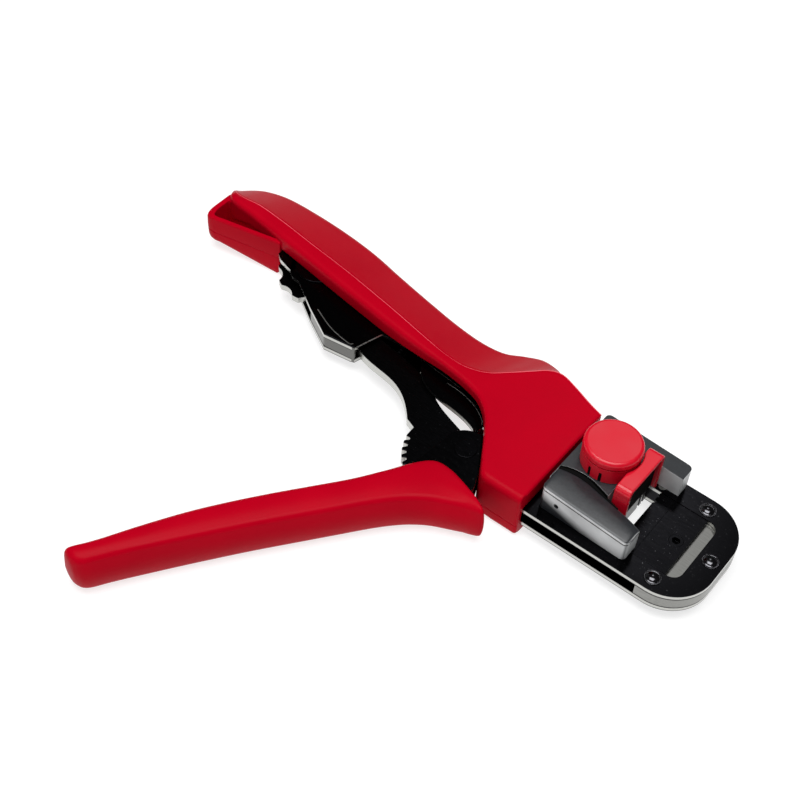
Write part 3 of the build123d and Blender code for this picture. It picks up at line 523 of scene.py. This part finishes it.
INSIDE = (3.8, 3.8, 3.8, 3.8, 3.8, 3.8, 3.8, 3.8, 3.8, 3.8, 6.0, 7.7, 7.7, 7.7, 7.7, 7.7, 7.7, 7.7, 7.7, 6.4, 3.8)
HEIGHT_SHARE = (0.35, 0.68, 0.88, 0.97) + (1.0,) * 17     # the housing drops at its tail
STATIONS = 260
HOUSING_WALL = 1.85
HOLLOW_LOW = 3.75                       # the inner wall leaves the near wall at this height
BLOCK_BACK = 137.5                      # from here to the front the housing is closed on its near side
FRONT_ROUND = 1.1                       # rounding of the housing's front edge
SPLIT_TAIL, SPLIT_FRONT = 0.5, -3.6     # the mould's parting plane leans a little


def parting(x):
    """Height of the parting plane between the two shells."""
    return SPLIT_TAIL + (SPLIT_FRONT - SPLIT_TAIL) * np.clip(x, 0, 153.5) / 153.5


def housing_half(depth, side):
    """One shell as a section of ten corners carried from the tail to the front: near rim, near top edge,
    ridge, far edge, parting line, and back round the hollow. The side is 1 above and -1 below."""
    near, ridge = (through([row[i] for row in HOUSING_ROWS], STATIONS) for i in (0, 1))
    far = through([row[2] for row in HOUSING_ROWS], STATIONS)
    far, edge = far[:, :2], far[:, 2]
    across = far - near
    width = np.linalg.norm(across, axis=1, keepdims=True)
    across /= width
    wall = np.minimum(HOUSING_WALL, 0.3 * width)
    inner_near, inner_far = near + across * wall, far - across * wall
    split_near, split_far = parting(near[:, 0]), parting(far[:, 0])
    rim, roof = along(NEAR_RIM, STATIONS), along(INSIDE, STATIONS)
    block = near[:, 0] > BLOCK_BACK
    if side < 0:
        rim = np.where(block, split_near, -np.maximum(rim, 4.0))
        roof = -roof * depth / SHELL_TOP
        edge = np.minimum(-(edge - 1.4), split_far - 0.9)
    rim = np.where(block, split_near, rim)
    ahead = np.clip(1 - (near[-1, 0] - near[:, 0]) / FRONT_ROUND, 0, 1)
    drawn = FRONT_ROUND * 0.6 * (1 - np.sqrt(1 - ahead**2))
    top = side * (depth * along(HEIGHT_SHARE, STATIONS) - drawn)
    edge = np.where(side * edge > side * top, top - side * 0.2, edge)
    near = near + across * drawn[:, None]
    far = far - across * drawn[:, None]
    low = side * HOLLOW_LOW
    beyond = np.minimum(np.linalg.norm(ridge - near, axis=1) * 0.6 + 1.0, 0.45 * width[:, 0])[:, None]
    rails = [
        raised(near, rim), raised(near, top), raised(ridge, top), raised(far, edge), raised(far, split_far),
        raised(inner_far, split_far), raised(inner_far, (split_far + edge) / 2), raised(near + across * beyond, low),
        raised(near + across * beyond, roof), raised(inner_near, roof), raised(inner_near, rim),
    ]
    return moulding(rails, (0.3, 2.6, 1.3, 2.2, 0.25, 0.1, 0.1, 0.1, 0.1, 0.1, 0.3))


# The tail block from above, and its open pocket
BLOCK_OUTLINE = ((-1.5, 23.5), (-1.5, 13.0), (0.2, 9.8), (28.0, 16.0), (28.0, 22.5), (5.0, 26.0))
POCKET_OUTLINE = ((0.9, 20.6), (0.9, 14.4), (1.9, 11.8), (26.2, 17.2), (13.0, 19.1), (5.0, 20.0))
BLOCK_TOP, BLOCK_LOW, POCKET_FLOOR = 6.8, -4.2, -3.0


def rounded_loop(corners, reach, steps=10):
    """A closed outline with a parabola round each corner."""
    rails = np.array([[(x, y, 0.0)] for x, y in corners])
    return moulding(rails, reach, steps)[:, 0, :2]


def tail_block():
    """Block at the tail, as rings of one outline from its underside, up its wall, over the rim and down
    into the pocket. A dip in the wall is the parting line."""
    outer = rounded_loop(BLOCK_OUTLINE, (0.5, 3.0, 3.2, 0.3, 0.3, 0.5))
    pocket = rounded_loop(POCKET_OUTLINE, (0.4, 1.6, 1.6, 0.5, 0.4, 0.4))
    middle, hollow = outer.mean(0), pocket.mean(0)
    heel = np.interp(outer[:, 0], (17.0, 26.5), (BLOCK_LOW, -SHELL_LOW))
    split = parting(outer[:, 0])

    def ring(inset, height):
        distance = np.linalg.norm(outer - middle, axis=1, keepdims=True)
        return raised(outer - (outer - middle) * inset / distance, height)

    rings = [raised(np.tile(middle, (len(outer), 1)), BLOCK_LOW), ring(2.6, heel), ring(1.4, heel + 0.25),
             ring(0.7, heel + 1.1), ring(0.3, heel + 2.4), ring(0.12, split - 0.25), ring(0.38, split),
             ring(0.1, split + 0.25), ring(0.0, 3.0), ring(0.0, BLOCK_TOP - 1.0), ring(0.1, BLOCK_TOP - 0.55),
             ring(0.32, BLOCK_TOP - 0.18), ring(0.7, BLOCK_TOP)]
    rings += [raised(pocket + (pocket - hollow) * grow, height) for grow, height in (
        (0.02, BLOCK_TOP), (0.0, BLOCK_TOP - 0.25), (-0.02, 3.0), (-0.04, POCKET_FLOOR + 0.4),
        (-0.08, POCKET_FLOOR))]
    rings.append(raised(np.tile(hollow, (len(outer), 1)), POCKET_FLOOR))
    return np.stack(rings, 1)


def ridge_highlight():
    """A painted highlight along the housing's ridge, as a fine pale bar."""
    ridge = through([row[1] for row in HOUSING_ROWS], STATIONS)[12:]
    top = (SHELL_TOP * along(HEIGHT_SHARE, STATIONS))[12:]
    return bar(ridge, 0.26, top - 0.5, top - 0.13)


class CRIMP_OT_housing(bpy.types.Operator):
    """Moulds the two red shells of the fixed handle"""
    bl_idname = "crimp.housing"
    bl_label = "Fixed handle housing"

    def execute(self, context):
        top = shell_mesh("shell_top_skin", housing_half(SHELL_TOP, 1), tail_block())
        fitted("shell_top_skin", top, "shell_top", "frame", "housing ABS", 32)
        low = shell_mesh("shell_bottom_skin", housing_half(SHELL_LOW, -1))
        fitted("shell_bottom_skin", low, "shell_bottom", "frame", "housing ABS", 32)
        trimming("housing_ridge_highlight", [ridge_highlight()], "frame", "painted highlight ABS")
        return {"FINISHED"}


# The moving grip's rails from its tip to its end at the joint: near edge and far edge
GRIP_ROWS = (
    ((66.8, -119.1), (64.6, -118.4)), ((70.1, -119.3), (62.9, -116.7)), ((73.2, -117.6), (63.5, -114.6)),
    ((77.0, -111.6), (66.6, -109.6)), ((86.0, -97.8), (72.4, -98.4)), ((93.2, -87.6), (79.0, -86.2)),
    ((100.3, -77.6), (85.6, -75.8)), ((107.9, -67.4), (93.0, -65.2)), ((115.5, -57.2), (100.6, -55.0)),
    ((121.6, -49.2), (107.6, -45.4)), ((126.6, -43.6), (113.6, -35.8)), ((130.6, -40.1), (118.6, -27.6)),
    ((134.0, -37.8), (122.9, -23.0)), ((137.6, -36.0), (128.2, -22.3)), ((141.4, -34.2), (134.4, -23.8)),
    ((144.8, -32.8), (140.2, -26.2)), ((146.9, -31.7), (145.0, -28.8)), ((147.5, -30.9), (147.2, -30.3)),
)
GRIP_STATIONS = 200


def grip_surface():
    """Grip as a section of seven corners carried along the handle: a flat crowned top, a crease on the
    near side, a near wall that bulges out below the crease, and rounder corners below."""
    near, far = (through([row[i] for row in GRIP_ROWS], GRIP_STATIONS) for i in (0, 1))
    across = far - near
    width = np.linalg.norm(across, axis=1, keepdims=True)
    across /= width
    full = np.clip(width / 11.0, 0.0, 1.0)
    place = np.linspace(0, 1, GRIP_STATIONS)

    def plump(tip, joint):
        ends = np.minimum(place / tip, (1 - place) / joint)
        return np.sqrt(1 - (1 - np.clip(ends, 0, 1))**2)

    top, low = 1.2 + 6.7 * plump(0.13, 0.11), 0.2 - 7.5 * plump(0.15, 0.2)
    rails = [
        raised(near, 0.4), raised(near + across * 2.3 * full, top - 0.9),
        raised(near + across * 0.5 * width, top + 0.1), raised(far - across * 1.7 * full, top - 0.3),
        raised(far, 0.2), raised(far - across * 1.6 * full, low), raised(near + across * 1.8 * full, low),
    ]
    return moulding(rails, (4.2, 1.5, 3.0, 2.6, 4.2, 3.0, 3.0))


JOINT = (128.0, -13.8)
ROOM_HALF = 5.6
STRUT_ROOM = 20.2
BACK_ROOM = 27.0


def grip_rooms():
    """Rooms in the grip for the strut's teeth: a disc about the joint, and the sector that its back sweeps."""
    disc = turned(((0, -ROOM_HALF), (STRUT_ROOM, -ROOM_HALF), (STRUT_ROOM, ROOM_HALF), (0, ROOM_HALF)), JOINT, 96)
    angle = np.radians(np.linspace(191.1, 252.8, 40))
    arc = np.column_stack([JOINT[0] + BACK_ROOM * np.cos(angle), JOINT[1] + BACK_ROOM * np.sin(angle)])
    return disc, slab(np.vstack([arc, [(120.0, -19.0)]]), -ROOM_HALF - 0.01, ROOM_HALF + 0.01)


class CRIMP_OT_moving_handle(bpy.types.Operator):
    """Moulds the moving grip and finishes the steel levers in it"""
    bl_idname = "crimp.moving_handle"
    bl_label = "Moving handle"

    def execute(self, context):
        sizes = context.scene.crimp_tool_sizes
        grip = hollowed(shell_mesh("moving_grip_skin", grip_surface()), *grip_rooms())
        fitted("moving_grip_skin", grip, "moving_grip", "moving_handle", "housing ABS", 40)
        for node in ("lever_plate_top", "lever_plate_bottom"):
            refined(node, "moving_handle", "blackened plate", sizes.plate_edge)
        for node in ("joint_pin", "ram_pin", "pawl_pin"):
            refined(node, "moving_handle", "blackened block", sizes.machined_edge)
        for node in ("joint_washers", "lever_rivets"):
            coat(node, "turned pin steel")
        coat("lever_core", "blackened block")
        coat("pawl_spring", "spring wire")
        return {"FINISHED"}


NOSE_RIVETS = ((196.0, 15.7), (196.0, -15.7), (206.0, 0.0))
RIVET_PROFILE = ((0, -3.85), (2.6, -3.85), (2.6, -3.6), (2.2, -3.5), (2.2, 3.5), (2.65, 3.62), (2.58, 3.8),
                 (2.35, 3.86), (2.15, 3.72), (1.95, 3.74), (1.65, 4.08), (1.1, 4.36), (0.5, 4.47), (0, 4.5))
# Black steel in the layers of the side plates: the bracket's lug at the tail block, and the stop under the strut
LUG = ((28.6, 14.6), (31.0, 12.9), (37.5, 11.0), (37.5, 24.0), (29.5, 24.0), (28.6, 19.0))
STOP = ((77.0, 2.2), (78.5, 12.0), (95.0, 12.0), (95.0, 3.2))
# Painted highlights as thin pale bars on the blackened plates: along the bracket's ridge and end, and beside the
# housing's rim
PAINTED_HIGHLIGHT_LINES = (
    (((55.4, 3.2), (64.0, -0.4), (72.2, -1.9), (74.0, -1.2)), 0.35),
    (((75.7, -2.0), (77.2, 3.6), (78.5, 8.0)), 0.45),
    (((95.2, 8.0), (101.4, 7.2), (107.0, 6.7), (111.2, 6.2)), 0.2),
    (((106.9, 5.2), (112.2, 4.9), (116.8, 3.9), (120.7, 2.3), (124.1, 0.0), (125.4, -1.6)), 0.2),
)


class CRIMP_OT_head(bpy.types.Operator):
    """Finishes the side plates, the nose spacer and their rivets"""
    bl_idname = "crimp.head"
    bl_label = "Head and frame plates"

    def execute(self, context):
        sizes = context.scene.crimp_tool_sizes
        for node in ("frame_plate_top", "frame_plate_bottom"):
            refined(node, "frame", "side plate", sizes.plate_edge)
        refined("head_spacer", "frame", "ground steel", sizes.plate_edge)
        refined("tail_bracket", "frame", "rubbed plate", sizes.plate_edge)
        heads = shell_mesh("nose_rivets_domed", *[turned(RIVET_PROFILE, place) for place in NOSE_RIVETS])
        fitted("nose_rivets_domed", heads, "nose_rivets", "frame", "oiled black steel", 50)
        # Painted highlights: thin pale bars laid on the black plates
        trimming("painted_highlight_lines", [bar(through(path, 40), width, PLATE_TOP - 0.1, PLATE_TOP + 0.06)
                                  for path, width in PAINTED_HIGHLIGHT_LINES], "frame", "painted highlight steel")
        layers = [slab(LUG, PLATE_LOW, PLATE_TOP), slab(LUG, -PLATE_TOP, -PLATE_LOW),
                  slab(STOP, -PLATE_TOP + 0.1, -PLATE_LOW - 0.05)]
        trimming("plate_lugs", layers, "frame", "blackened plate")
        refined("tail_pin", "frame", "blackened block", 0.12 * MM)
        for node in ("guide_rivets", "spine_rivets", "shell_screws"):
            coat(node, "turned pin steel")
        coat("guide_bars", "blackened block")
        coat("spine_bar", "blackened block")
        coat("return_spring", "blackened block")
        return {"FINISHED"}


class CRIMP_OT_linkage(bpy.types.Operator):
    """Finishes the strut with its ratchet teeth, the adjusting wheel and the pawl"""
    bl_idname = "crimp.linkage"
    bl_label = "Linkage"

    def execute(self, context):
        sizes = context.scene.crimp_tool_sizes
        refined("strut", "strut", "blackened link", sizes.plate_edge)
        refined("adjusting_wheel", "adjusting_wheel", "blackened link", sizes.machined_edge)
        refined("pawl", "pawl", "blackened link", sizes.machined_edge)
        return {"FINISHED"}


class CRIMP_OT_dies(bpy.types.Operator):
    """Finishes the ram, the dies and the block behind them"""
    bl_idname = "crimp.dies"
    bl_label = "Ram and dies"

    def execute(self, context):
        sizes = context.scene.crimp_tool_sizes
        for node, body in (("ram", "ram"), ("moving_die", "ram"), ("fixed_die", "frame"), ("die_block", "frame")):
            refined(node, body, "blackened block", sizes.machined_edge)
        refined("die_screw", "frame", "blackened block", 0.1 * MM)
        return {"FINISHED"}


KNOB = (166.3, 4.8)
KNOB_MARKS = (-103.0, -79.0)


def turned_block(centre, radii, start, end, low, high, count=6):
    """A square bar on an arc: between two radii and two heights, from one angle to another."""
    angle = np.radians(np.linspace(start, end, count))
    way = np.column_stack([np.cos(angle), np.sin(angle)])
    corners = ((radii[0], low), (radii[1], low), (radii[1], high), (radii[0], high))
    return np.stack([raised(np.array(centre) + way * radius, height) for radius, height in corners])


# Inner edge of the locator's near arm: where its crowned cap ends, and where the deck's groove ends
CAP_INNER = ((156.2, -7.0), (161.2, -6.0), (166.0, -6.0), (173.5, -7.2), (181.4, -8.7), (186.4, -9.9))
DECK_INNER = ((156.2, -6.1), (161.2, -4.5), (166.0, -4.5), (173.5, -6.65), (181.4, -8.6), (186.4, -9.9))
CAP_BACK, CAP_FRONT = 156.2, 186.4


def near_arm():
    """Crowned cap of the near arm, the shadow gap between it and the deck, and the shadow line under its
    outer edge. The cap's section is carried from back to front and drops at both ends as a quarter circle."""
    inner, deck = through(CAP_INNER, 120), through(DECK_INNER, 120)
    x = inner[:, 0]
    end = np.minimum(x - CAP_BACK, CAP_FRONT - x)

    def drop(reach, size):
        return size * (1 - np.sqrt(1 - np.clip(1 - end / reach, 0, 1)**2))

    outer = np.column_stack([x, -16.56 + 0.6 * (CAP_FRONT - x) / (CAP_FRONT - CAP_BACK) + drop(1.6, 1.6)])
    top = 13.15 - 1.6 * (x - CAP_BACK) / 31.2
    middle = outer * 0.45 + inner * 0.55
    cap = moulding([raised(outer, top - 1.0), raised(outer, top + 0.1 - drop(1.2, 0.5)),
                    raised(middle, top + 0.85 - drop(2.5, 0.8)), raised(inner, top + 0.1 - drop(1.2, 0.3)),
                    raised(inner, top - 1.0)], (0.1, 0.9, 4.5, 0.9, 0.1))
    gap = np.stack([raised(inner - (0, 0.4), top - 0.6), raised(deck, top - 0.6), raised(deck, top + 0.06),
                    raised(inner - (0, 0.4), top + 0.06)])[:, :84]
    line = np.stack([raised(outer - (0, 0.02), top - 1.3), raised(outer + (0, 0.5), top - 1.3),
                     raised(outer + (0, 0.5), top - 0.98), raised(outer - (0, 0.02), top - 0.98)])
    wall = np.stack([raised(deck - (0, 0.3), top - 0.6), raised(deck + (0, 0.35), top - 0.6),
                     raised(deck + (0, 0.35), 13.48), raised(deck - (0, 0.3), 13.4)])[:, :71]
    return [cap], [gap, wall, line]


class CRIMP_OT_locator(bpy.types.Operator):
    """Moulds the locator's body, portal and knob"""
    bl_idname = "crimp.locator"
    bl_label = "Locator"

    def execute(self, context):
        sizes = context.scene.crimp_tool_sizes
        refined("locator_body", "frame", "locator black nylon", sizes.locator_edge)
        refined("locator_bridge", "locator_bridge", "locator red ABS", sizes.moulded_edge)
        refined("locator_knob", "locator_knob", "locator red ABS", 0.12 * MM)
        # The insert under the portal is given painted shadow black
        refined("bridge_insert", "locator_bridge", "painted shadow black", sizes.machined_edge)
        cap, shadows = near_arm()
        trimming("locator_arm_cap", cap, "frame", "locator black nylon", 50)
        # The gap beside the arm's cap and the line under its edge are painted shadow
        trimming("locator_gaps", shadows, "frame", "painted shadow black")
        # Painted shadow inside the knob's two notches
        marks = [turned_block(KNOB, (8.3, 8.88), turn - 3.9, turn + 3.9, 13.6, 17.3) for turn in KNOB_MARKS]
        trimming("knob_marks", marks, "locator_knob", "painted shadow black")
        for node in ("locator_screws", "knob_post"):
            coat(node, "turned pin steel")
        return {"FINISHED"}


# Studio
CAMERA_AT = (272.018, -263.221, 355.67)
CAMERA_TURN = 34.2
CAMERA_DOWN = 49.0
CAMERA_ROLL = 5.0
CAMERA_LENS = 67.5
FLOOR_SIDE = 6.0


def aimed(place, turn, down, roll=0.0):
    """Pose of a camera or light at a place: turned about the vertical, tipped down and rolled."""
    a, e, r = (math.radians(v) for v in (turn, down, roll))
    ahead = Vector((-math.sin(a) * math.cos(e), math.cos(a) * math.cos(e), -math.sin(e)))
    right = Vector((math.cos(a), math.sin(a), 0.0))
    up = right.cross(ahead)
    across = right * math.cos(r) + up * math.sin(r)
    top = up * math.cos(r) - right * math.sin(r)
    pose = Matrix((across, top, -ahead)).transposed().to_4x4()
    pose.translation = place
    return pose


def softbox(name, place, target, side, power, tint=(1.0, 1.0, 1.0)):
    """A square studio light at a place, in metres, aimed at a target."""
    light = bpy.data.lights.new(name, "AREA")
    light.shape = "RECTANGLE"
    light.size, light.size_y = side
    light.energy = power
    light.color = tint
    lamp = bpy.data.objects.new(name, light)
    bpy.context.scene.collection.objects.link(lamp)
    place, target = Vector(place), Vector(target)
    lamp.matrix_world = Matrix.Translation(place) @ (target - place).to_track_quat("-Z", "Y").to_matrix().to_4x4()
    return lamp


class CRIMP_OT_stage(bpy.types.Operator):
    """Lays the paper floor and sets the camera and the soft lights"""
    bl_idname = "crimp.stage"
    bl_label = "Studio"

    def execute(self, context):
        scene = context.scene
        half = FLOOR_SIDE / 2
        mesh = bpy.data.meshes.new("paper")
        mesh.from_pydata([(-half, -half, 0), (half, -half, 0), (half, half, 0), (-half, half, 0)], [], [(0, 1, 2, 3)])
        mesh.materials.append(paper_floor("studio paper", tuple(scene.crimp_tool_colours.floor_white)))
        floor = bpy.data.objects.new("paper", mesh)
        scene.collection.objects.link(floor)

        lens = bpy.data.cameras.new("camera")
        lens.lens = CAMERA_LENS
        lens.sensor_width = 36.0
        lens.clip_start = 0.01
        camera = bpy.data.objects.new("camera", lens)
        scene.collection.objects.link(camera)
        camera.matrix_world = aimed(spot(*CAMERA_AT), CAMERA_TURN, CAMERA_DOWN, CAMERA_ROLL)
        scene.camera = camera

        world = bpy.data.worlds.new("studio")
        world.use_nodes = True
        world.node_tree.nodes["Background"].inputs["Color"].default_value = (1.0, 1.0, 1.0, 1.0)
        world.node_tree.nodes["Background"].inputs["Strength"].default_value = 0.06
        scene.world = world
        middle = spot(110, -10, 0)
        softbox("overhead", middle + Vector((0.02, -0.12, 0.9)), middle, (0.8, 0.6), 10.5)
        softbox("far glint", spot(-18, 548, 708), spot(177, 3, 19), (0.12, 0.12), 0.30)
        softbox("near strip", middle + Vector((-0.16, -0.70, 0.48)), middle, (0.5, 0.16), 0.7)
        scene.view_settings.view_transform = "Standard"
        return {"FINISHED"}


class CRIMP_PT_panel(bpy.types.Panel):
    """Lists the steps that finish the crimping tool"""
    bl_idname = "CRIMP_PT_panel"
    bl_label = "Crimping tool"
    bl_space_type = "VIEW_3D"
    bl_region_type = "UI"
    bl_category = "Crimping tool"

    def draw(self, context):
        for step in STEPS:
            self.layout.operator(step.bl_idname)
        for group in (context.scene.crimp_tool_sizes, context.scene.crimp_tool_colours):
            for name in group.__annotations__:
                self.layout.prop(group, name)


STEPS = (
    CRIMP_OT_stage, CRIMP_OT_housing, CRIMP_OT_moving_handle, CRIMP_OT_head, CRIMP_OT_linkage, CRIMP_OT_dies,
    CRIMP_OT_locator,
)
CLASSES = (CrimpToolSizes, CrimpToolColours, CRIMP_PT_panel) + STEPS


def register():
    for one in CLASSES:
        bpy.utils.register_class(one)
    bpy.types.Scene.crimp_tool_sizes = PointerProperty(type=CrimpToolSizes)
    bpy.types.Scene.crimp_tool_colours = PointerProperty(type=CrimpToolColours)


def unregister():
    del bpy.types.Scene.crimp_tool_sizes
    del bpy.types.Scene.crimp_tool_colours
    for one in reversed(CLASSES):
        bpy.utils.unregister_class(one)


def main():
    register()
    for step in STEPS:
        group, name = step.bl_idname.split(".")
        getattr(getattr(bpy.ops, group), name)()


if __name__ == "__main__":
    main()
